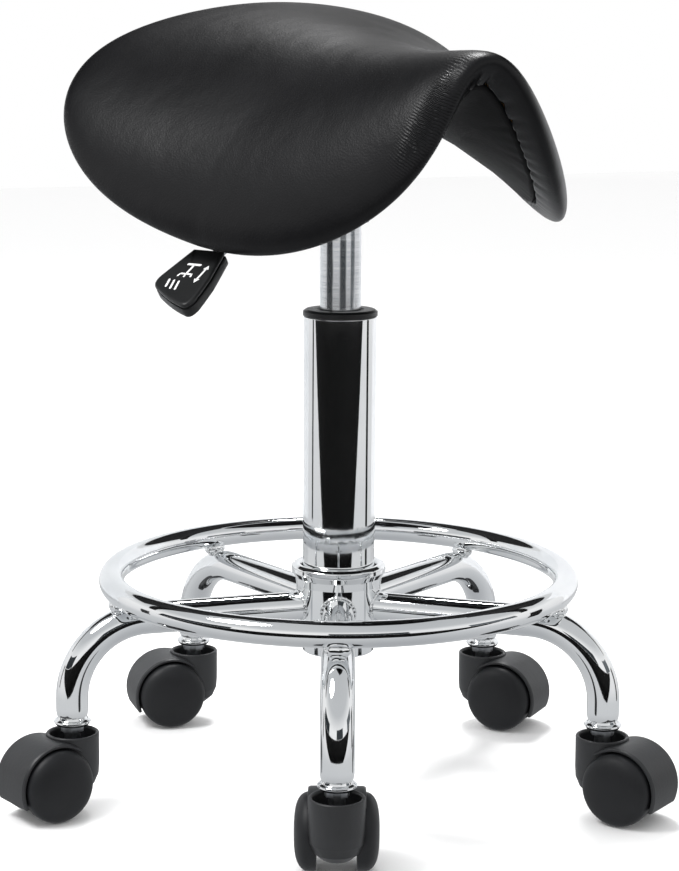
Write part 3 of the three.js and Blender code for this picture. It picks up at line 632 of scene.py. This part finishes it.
paddle_outline = even_ring(np.concatenate([
    curve((0, -16), (15, -19.5), (30, -23)), curve((30, -23), (39, -24.5), (43, -17.5)),
    curve((43, -17.5), (53, -1), (57.5, 13)), curve((57.5, 13), (60, 20), (50, 20.5)),
    curve((50, 20.5), (40, 19.5), (28, 17.5)), curve((28, 17.5), (14, 13.8), (0, 10)),
]), 160)
paddle_outline = (np.roll(paddle_outline, 1, 0) + 2 * paddle_outline + np.roll(paddle_outline, -1, 0)) / 4
paddle = stack(paddle_outline, [
    (3.2, -5.5), (2.0, -5.4), (0.9, -4.9), (0.3, -4.0), (0.2, -2.5), (0.2, 0.8), (0.4, 1.3), (1.5, 1.6),
    (1.7, 2.1), (1.6, 2.5), (0.5, 2.8), (0.2, 3.3), (0.2, 4.2), (0.5, 4.9), (1.2, 5.35), (2.2, 5.5), (3.4, 5.5),
])
surface("lever_paddle", [on_handle(paddle)], paddle_nylon, "lever", ["lever_handle"], crease=50)

# %% [markdown]
# ### A plain pictogram
# A seat on a post, a double arrow and three strokes are printed on the paddle. Each mark is a
# thin pad of ink standing 0.15 mm proud.

# %% Printed marks


def bar_mark(x0, y0, x1, y1, width):
    """A straight stroke with round ends, from one point to another."""
    along = np.array([x1 - x0, y1 - y0], float)
    facing = math.atan2(along[1], along[0])
    half_turn = np.linspace(-np.pi / 2, np.pi / 2, 9)
    angle = np.concatenate([facing + half_turn, facing + np.pi + half_turn])
    ends = np.concatenate([np.tile([x1, y1], (9, 1)), np.tile([x0, y0], (9, 1))])
    return ends + width / 2 * np.stack([np.cos(angle), np.sin(angle)], 1)


def arrow_mark(x, y, direction):
    """An arrow head 4.4 mm wide and 4 mm long that points along the paddle."""
    tail = x - 2 * direction
    return np.array([[tail, y - 2.2 * direction], [x + 2 * direction, y], [tail, y + 2.2 * direction]])


marks = [
    # the seat, its post and three feet
    bar_mark(17.0, -8.0, 17.0, 2.0, 2.0), bar_mark(17.6, -3.0, 27.0, -3.0, 1.6),
    bar_mark(27.0, -7.6, 27.0, 1.6, 1.5), bar_mark(27.0, -7.6, 29.4, -8.4, 1.3),
    bar_mark(27.0, 1.6, 29.4, 2.4, 1.3), bar_mark(27.0, -3.0, 29.8, -3.0, 1.3),
    # a double arrow beside it, then three plain strokes
    bar_mark(21.0, 9.2, 31.0, 9.2, 1.5), arrow_mark(18.8, 9.2, -1), arrow_mark(33.2, 9.2, 1),
    bar_mark(34.0, -12.0, 41.0, -10.0, 1.5), bar_mark(34.6, -7.6, 42.6, -5.2, 1.5),
    bar_mark(35.2, -3.2, 43.2, -0.8, 1.5),
]
mark_grids = [on_handle(stack(mark, [(0, 5.3), (0, 5.65)])) for mark in marks]
surface("paddle_marks", mark_grids, ink, "lever")

# %% [markdown]
# ## Seat form
# The cushion lies on a curved middle surface. Along the spine it falls forward, rises to the
# pommel and rises again behind. Across, its slope grows from the spine outwards, steeply where
# the ridge is narrow in front, and curls under at the flaps. Lengths s and t are measured
# along the skin, so the flat outline keeps its size when it is bent.

# %% Middle surface
FRONT, BACK, HALF, TAPER = 158.4, 176.8, 171.2, 0.238
EDGE_POWER, HALF_THICK, SEAM = 1.88, 26.0, 0.9


def skin_slope(s, t):
    """Slope across the seat: a limit set by s, reached over the ridge's width, plus the curl."""
    u = s / 150
    limit = 0.783 + 0.304 * u + 0.044 * u**2 + 0.088 * u**3
    ridge = np.maximum(71.8 - 49.8 * u, 10)
    return limit * t / np.hypot(t, ridge) + 0.329 * (t / 150) ** 3 - 0.192 * np.maximum(-u, 0) * (t / 150) ** 2


def middle(s, t, steps=24):
    """Place of (s, t) on the middle surface: the slope is summed outwards from the spine."""
    span = np.abs(t)
    share = (np.arange(steps) + 0.5) / steps
    angle = skin_slope(s[None], span[None] * share[:, None, None])
    across = np.cos(angle).mean(0) * span
    drop = np.sin(angle).mean(0) * span
    u = np.abs(s / 150)
    rise = np.where(s > 0, 32.0 * u**2.14, 18.4 * u**1.66)
    return np.stack([s, np.sign(t) * across, rise - 23.1 * s / 150 - drop], -1)


def middle_normal(s, t):
    """The cross product of the two steps along the surface, which points out of the seat."""
    along_s = middle(s + 1, t) - middle(s - 1, t)
    along_t = middle(s, t + 1) - middle(s, t - 1)
    normal = np.cross(along_s, along_t)
    return normal / np.linalg.norm(normal, axis=-1)[..., None]


def rounded_end(angle):
    """Flat outline at an angle: powers of cosine and sine square its ends, and it tapers."""
    c, d = np.cos(angle), np.sin(angle)
    length = np.where(c > 0, FRONT, BACK) * np.sign(c) * np.abs(c) ** np.where(c > 0, 0.772, 0.582)
    return np.stack([length, HALF * np.sign(d) * np.abs(d) ** 0.646 * (1 - TAPER * length / 150)], 1)


SEAT_TURNS = 480
fine_angle = np.pi + 2 * np.pi * np.linspace(0, 1, 40001)[:-1]
outline = even_ring(rounded_end(fine_angle), SEAT_TURNS)
rim_length = np.concatenate([[0], np.cumsum(np.linalg.norm(np.diff(outline, axis=0), axis=1))])
print("seat outline", round(float(rim_length[-1])), "mm round")


def padding(rho, t):
    """Half the cushion's thickness: it closes at the rim like a squared-off ellipse."""
    edge = np.sqrt(np.clip(1 - rho**EDGE_POWER, 0, 1))
    return HALF_THICK * edge * (1 - 0.066 * (t / 180) ** 2)


def on_seat(points):
    """From seat axes in millimetres to the row frame: roll, pitch, set in place, face -Y."""
    roll, pitch = 0.068, -0.023
    lean = np.array([[1, 0, 0], [0, math.cos(roll), -math.sin(roll)], [0, math.sin(roll), math.cos(roll)]])
    nod = np.array([[math.cos(pitch), 0, math.sin(pitch)], [0, 1, 0], [-math.sin(pitch), 0, math.cos(pitch)]])
    s, v, w = np.moveaxis(points @ (lean @ nod).T + [22.0, 7.7, 493.1], -1, 0)
    return np.stack([v, -s, w], -1) * MM


def seat_surface(rho, offset):
    """Rings at each rho round the outline, moved off the middle by offset(rho, t)."""
    s = rho * outline[None, :, 0]
    t = rho * outline[None, :, 1]
    return middle(s, t) + middle_normal(s, t) * offset(rho, t)[..., None]


# %% [markdown]
# ## Cushion
# The skin is pulled over foam, round the rim and into a seam under it. Where it turns the tight
# front rim there is too much cloth, so it gathers in fine creases across the rim. The
# creases lie on one side of the front, and are too fine for the mesh, so a mask and the length
# along the rim are kept on the mesh and the material draws them.

# %% Cushion grid
waves = np.arange(1, 9)[:, None]
rim = rim_length[None]
wander = (np.sin(rim / 61.0 * waves**0.7 + waves * 2.1) / waves**0.5).sum(0) / 2.6

top_rho = np.concatenate([np.linspace(0.0, 0.84, 64), 0.84 + 0.16 * np.sin(np.linspace(0, np.pi / 2, 34))[1:]])
roll_rho = (1 - (1 - SEAM) * np.linspace(0, 1, 22) ** 1.6)[1:]
tuck = np.array([[0.891, 2.0], [0.884, 5.0], [0.88, 9.0], [0.86, 11.8], [0.6, 11.8], [0.3, 11.8], [0.0, 11.8]])
rho = np.concatenate([top_rho, roll_rho, tuck[:, 0]])[:, None] * np.ones((1, SEAT_TURNS))
count_top, count_roll = len(top_rho), len(roll_rho)
seam_wander = 0.004 * wander[None]
rho[count_top : count_top + count_roll + 4] += seam_wander * np.linspace(0, 1, count_roll + 4)[:, None] ** 3

side = np.ones_like(rho)
side[count_top:] = -1
extra = np.zeros_like(rho)
extra[count_top + count_roll :] = tuck[:, 1:]
# gathers under the rim: folds run in from the seam and die out on the roll
near_seam = np.zeros(len(rho))
near_seam[count_top : count_top + count_roll + 2] = np.linspace(0, 1, count_roll + 2) ** 2
folds = np.maximum(np.sin(rim_length * 2 * np.pi / 13.0 + 2.2 * wander * 3), 0) ** 2
nose = np.exp(-(((rim_length / rim_length[-1]) - 0.5) / 0.09) ** 2)
extra += near_seam[:, None] * ((1.3 + 2.2 * nose) * folds * (0.35 + 0.65 * np.abs(wander)))[None]


def cushion_offset(rho_, t):
    """Padding above or below the middle, less the tuck and the gathers."""
    return side * padding(rho_, t) + extra


cushion_points = seat_surface(rho, cushion_offset)
along_rim = np.broadcast_to(rim_length[None] * MM, rho.shape)
from_rim = np.broadcast_to(((1 - rho) * 160 * side) * MM, rho.shape)
band = np.exp(-((from_rim / MM - 8.0) / 6.0) ** 2)
gather = band * (np.exp(-((rim_length / rim_length[-1] - 0.458) / 0.021) ** 2))[None]
print("cushion grid", cushion_points.shape)
cushion = surface("saddle_cushion", [on_seat(cushion_points)], upholstery, "seat", ["seat_cushion"], 75,
                  {"rim_length": along_rim, "gather": gather})

# %% [markdown]
# ## Lining
# The same cloth, duller, is stapled over the shell. Its edge turns up into the seam, and it
# puckers between the staples.

# %% Lining grid
line_rho = np.concatenate([[0.0, 0.2, 0.4], np.linspace(0.5, 0.868, 60), [0.873, 0.875, 0.873, 0.86, 0.8, 0.4, 0.0]])
line_rho = line_rho[:, None] * np.ones((1, SEAT_TURNS))
line_depth = np.concatenate([np.full(63, 0.25), [1.0, 2.5, 3.6, 1.6, 1.6, 1.6, 1.6]])[:, None]
near_edge = np.clip((line_rho - 0.66) / 0.2, 0, 1) ** 2
pucker = np.maximum(np.sin(rim_length * 2 * np.pi / 23.0 + 9 * wander + 1.0), 0) ** 2 * (0.25 + 0.6 * np.abs(wander))
line_rho = line_rho * (1 + 0.006 * near_edge * wander[None])
line_extra = line_depth + np.where(np.arange(len(line_rho))[:, None] < 63, 1.1 * near_edge * pucker[None], 0)
lining_points = seat_surface(line_rho, lambda rho_, t: line_extra - padding(rho_, t))
surface("seat_lining", [on_seat(lining_points)], lining, "seat", ["under_cover"], 75)

# %% [markdown]
# ## Plywood shell
# The pressed shell hides between foam and lining, so its edge stops short of the seam. Four
# black moulded spacers under it stand on the pressed plate, one round each bolt.

# %% Shell
ply_rho = np.concatenate([[0.0, 0.2, 0.4], np.linspace(0.5, 0.84, 30)])
ply_rho = np.concatenate([ply_rho, ply_rho[::-1]])[:, None] * np.ones((1, SEAT_TURNS))
ply_depth = np.concatenate([np.full(33, 2.4), np.full(33, 11.0)])[:, None]
ply_grid = on_seat(seat_surface(ply_rho, lambda rho_, t: ply_depth - padding(rho_, t)))
spacers = []
for k in range(1, 5):
    low, high = (np.array(corner_) for corner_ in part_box(f"seat_bolt_{k}"))
    bx, by = (low + high)[:2] / 2
    under = ply_grid[:33].reshape(-1, 3)
    rest_z = under[np.argmin(np.hypot(under[:, 0] - bx, under[:, 1] - by)), 2] / MM
    boss = blunted([(3.4, 435.3), (9.0, 435.3), (9.0, rest_z + 4), (3.4, rest_z + 4), (3.4, 435.3)], 0.6, 3)
    spacers.append(placed(turned(boss, 40), bx, by))
surface("seat_ply", [ply_grid], birch, "seat", ["seat_shell"], 50)
surface("seat_spacers", spacers, paddle_nylon, "seat", crease=50)

# %% [markdown]
# ## Pieces kept from the model
# Stems, axles, bolts, the pressed plate and the inside of the lift already have the right
# shape. They only need a real finish.

# %% Finishes on the kept pieces
kept = {
    zinc: ["caster_stem_", "caster_axle_", "seat_bolt_", "piston_rod", "thrust_bearing",
           "retaining_clip", "release_button"],
    powder: ["seat_plate"],
    acetal: ["guide_sleeve"],
    rubber: ["bumper"],
}
for material, starts in kept.items():
    for name, node in nodes.items():
        if any(name.startswith(start) for start in starts):
            for slot_ in node.material_slots:
                slot_.material = material
print("kept nodes dressed")

# %% [markdown]
# ## Studio
# White light from all round and a pale floor. Plating shows only what surrounds it, so the
# cells after this one put up things that are seen in reflections alone. The floor is left out
# of the reflections, so that the plating's underside stays grey.

# %% World and floor
bpy.context.scene.view_settings.view_transform = "Standard"
world = bpy.data.worlds.new("studio")
bpy.context.scene.world = world
world.use_nodes = True
world.node_tree.nodes.clear()
white = add(world.node_tree, "ShaderNodeBackground", Color=(1, 1, 1, 1), Strength=1.0)
add(world.node_tree, "ShaderNodeOutputWorld", [("Surface", white.outputs["Background"])])


def stage_plane(name, corners, colour, rough):
    """A flat or curved strip of quads that belongs to the studio."""
    rows = np.asarray(corners, float)
    index = np.arange(len(rows) * 2).reshape(-1, 2)
    quads = np.hstack([index[:-1], index[1:, ::-1]])
    mesh = bpy.data.meshes.new(name)
    mesh.from_pydata(rows.reshape(-1, 3).tolist(), [], quads.tolist())
    paint, _, shader_, _ = start_material(name + " paint", Roughness=rough, Specular_IOR_Level=0.2)
    shader_.inputs["Base Color"].default_value = linear(colour)
    mesh.materials.append(paint)
    thing = bpy.data.objects.new(name, mesh)
    bpy.context.scene.collection.objects.link(thing)
    return thing


floor = stage_plane("floor", [[[-6, -6, 0], [6, -6, 0]], [[-6, 6, 0], [6, 6, 0]]], "#fbfbfb", 0.7)
floor.visible_glossy = False

# %% [markdown]
# ### Reflection tent
# In a studio, white cloth is hung round chrome so that it has something pale to show. Here it
# is a large sphere, brightest at eye level and grey above and below.

# %% Tent
TENT_RADIUS = 7
latitude = np.linspace(-np.pi / 2, np.pi / 2, 25)[:, None]
longitude = np.linspace(0, 2 * np.pi, 49)[None]
tent_rows = TENT_RADIUS * np.stack([
    np.cos(latitude) * np.cos(longitude), np.cos(latitude) * np.sin(longitude),
    np.sin(latitude) + 0 * longitude,
], -1)[:, :-1]
tent_mesh = bpy.data.meshes.new("tent")
tent_mesh.from_pydata(tent_rows.reshape(-1, 3).tolist(), [], quads_of(tent_rows, 0).tolist())
cloth, tree, shader, place = start_material("tent cloth", Roughness=1.0, Emission_Strength=1.0)
shader.inputs["Base Color"].default_value = (0, 0, 0, 1)
height = add(tree, "ShaderNodeSeparateXYZ", [("Vector", place)]).outputs["Z"]
shades = add(tree, "ShaderNodeMapRange", [("Value", height)])
shades.inputs["From Min"].default_value = -TENT_RADIUS
shades.inputs["From Max"].default_value = TENT_RADIUS
bands = add(tree, "ShaderNodeValToRGB", [("Fac", shades.outputs["Result"])])
bands.color_ramp.elements[0].color = linear("#b2b4b7")
bands.color_ramp.elements[1].color = linear("#c4c6c8")
for at, shade in ((0.38, "#d3d5d7"), (0.47, "#ececed"), (0.66, "#fafafa"), (0.8, "#c9cbcd")):
    bands.color_ramp.elements.new(at).color = linear(shade)
tree.links.new(bands.outputs["Color"], shader.inputs["Emission Color"])
tent_mesh.materials.append(cloth)
tent = bpy.data.objects.new("tent", tent_mesh)
bpy.context.scene.collection.objects.link(tent)
print("tent", len(tent_mesh.polygons), "faces")

# %% [markdown]
# ### Curtain, slats and beam
# Dark cloth behind the camera gives the column its black centre. It is wider at its top, which
# narrows the band downwards. Grey strips above it band the gas cylinder, two slats draw the thin
# dark lines, walls behind grey the edges, and a beam overhead draws lines along the ring.

# %% Things seen only in reflections
look = math.radians(HEADING - 90)
screens = [tent]


def screen(name, start, stop, low, high, colour, flare=1.0, away=0.92):
    """A piece of a cylinder round the stool, between two turns from the camera's side.

    The turns of its upper edge are flare times those of its lower edge.
    """
    edges = []
    for height_, widen in ((low, 1.0), (high, flare)):
        fan = look + np.radians(np.linspace(start, stop, 32)) * widen
        edges.append(np.column_stack([np.cos(fan) * away, np.sin(fan) * away, np.full(32, height_)]))
    screens.append(stage_plane(name, np.stack(edges, 1), colour, 0.9))


screen("curtain", -35, 31, -0.12, 0.235, "#040404", 2.45)
screen("band_left", -84, -46, 0.24, 0.4, "#202427")
screen("band_middle", -4, 30, 0.24, 0.4, "#25292c")
screen("band_right", 58, 84, 0.24, 0.4, "#4a4e51")
screen("slat_right", 92, 101, -0.1, 0.235, "#0c0c0c")
screen("slat_left", -96, -90, 0.0, 0.235, "#2c2c2d")
screen("wall_right", 122, 180, -0.1, 0.62, "#cfd0d2")
screen("wall_left", -180, -116, -0.1, 0.62, "#c9cbcd")
screen("back_cloth", 112, 248, 0.7, 1.6, "#141415")
beam_axis = np.array([math.cos(look + np.pi / 2), math.sin(look + np.pi / 2)])
back = -np.array([math.cos(look), math.sin(look)])
screens.append(stage_plane("beam", [
    [[*(back * 0.5 - beam_axis * 4), 1.7], [*(back * 0.86 - beam_axis * 4), 1.7]],
    [[*(back * 0.5 + beam_axis * 4), 1.7], [*(back * 0.86 + beam_axis * 4), 1.7]],
], "#060606", 0.9))
for thing in screens:
    thing.visible_camera = thing.visible_diffuse = thing.visible_shadow = False
    thing.visible_transmission = False
print("screens:", len(screens))

# %% [markdown]
# ### Softboxes
# The key is high on the user's right. A small lamp behind draws the streak on the seat's crest.
# The last one lifts the shadows and is kept out of reflections.

# %% Lamps


def softbox(name, place_, aim, size, power):
    """An area light at a place, facing a point."""
    data = bpy.data.lights.new(name, "AREA")
    data.shape, data.size, data.energy = "DISK", size, power
    lamp = bpy.data.objects.new(name, data)
    facing = (Vector(aim) - Vector(place_)).to_track_quat("-Z", "Y").to_matrix().to_4x4()
    lamp.matrix_world = Matrix.Translation(place_) @ facing
    bpy.context.scene.collection.objects.link(lamp)
    return lamp


softbox("key", (-1.3, 0.1, 2.0), (0, 0, 0.45), 0.9, 34)
softbox("crest", (0.62, 1.05, 2.1), (0, -0.05, 0.5), 0.5, 30)
softbox("rear", (1.1, 1.7, 1.7), (0, 0, 0.45), 1.0, 14).visible_glossy = False
print("stage built")
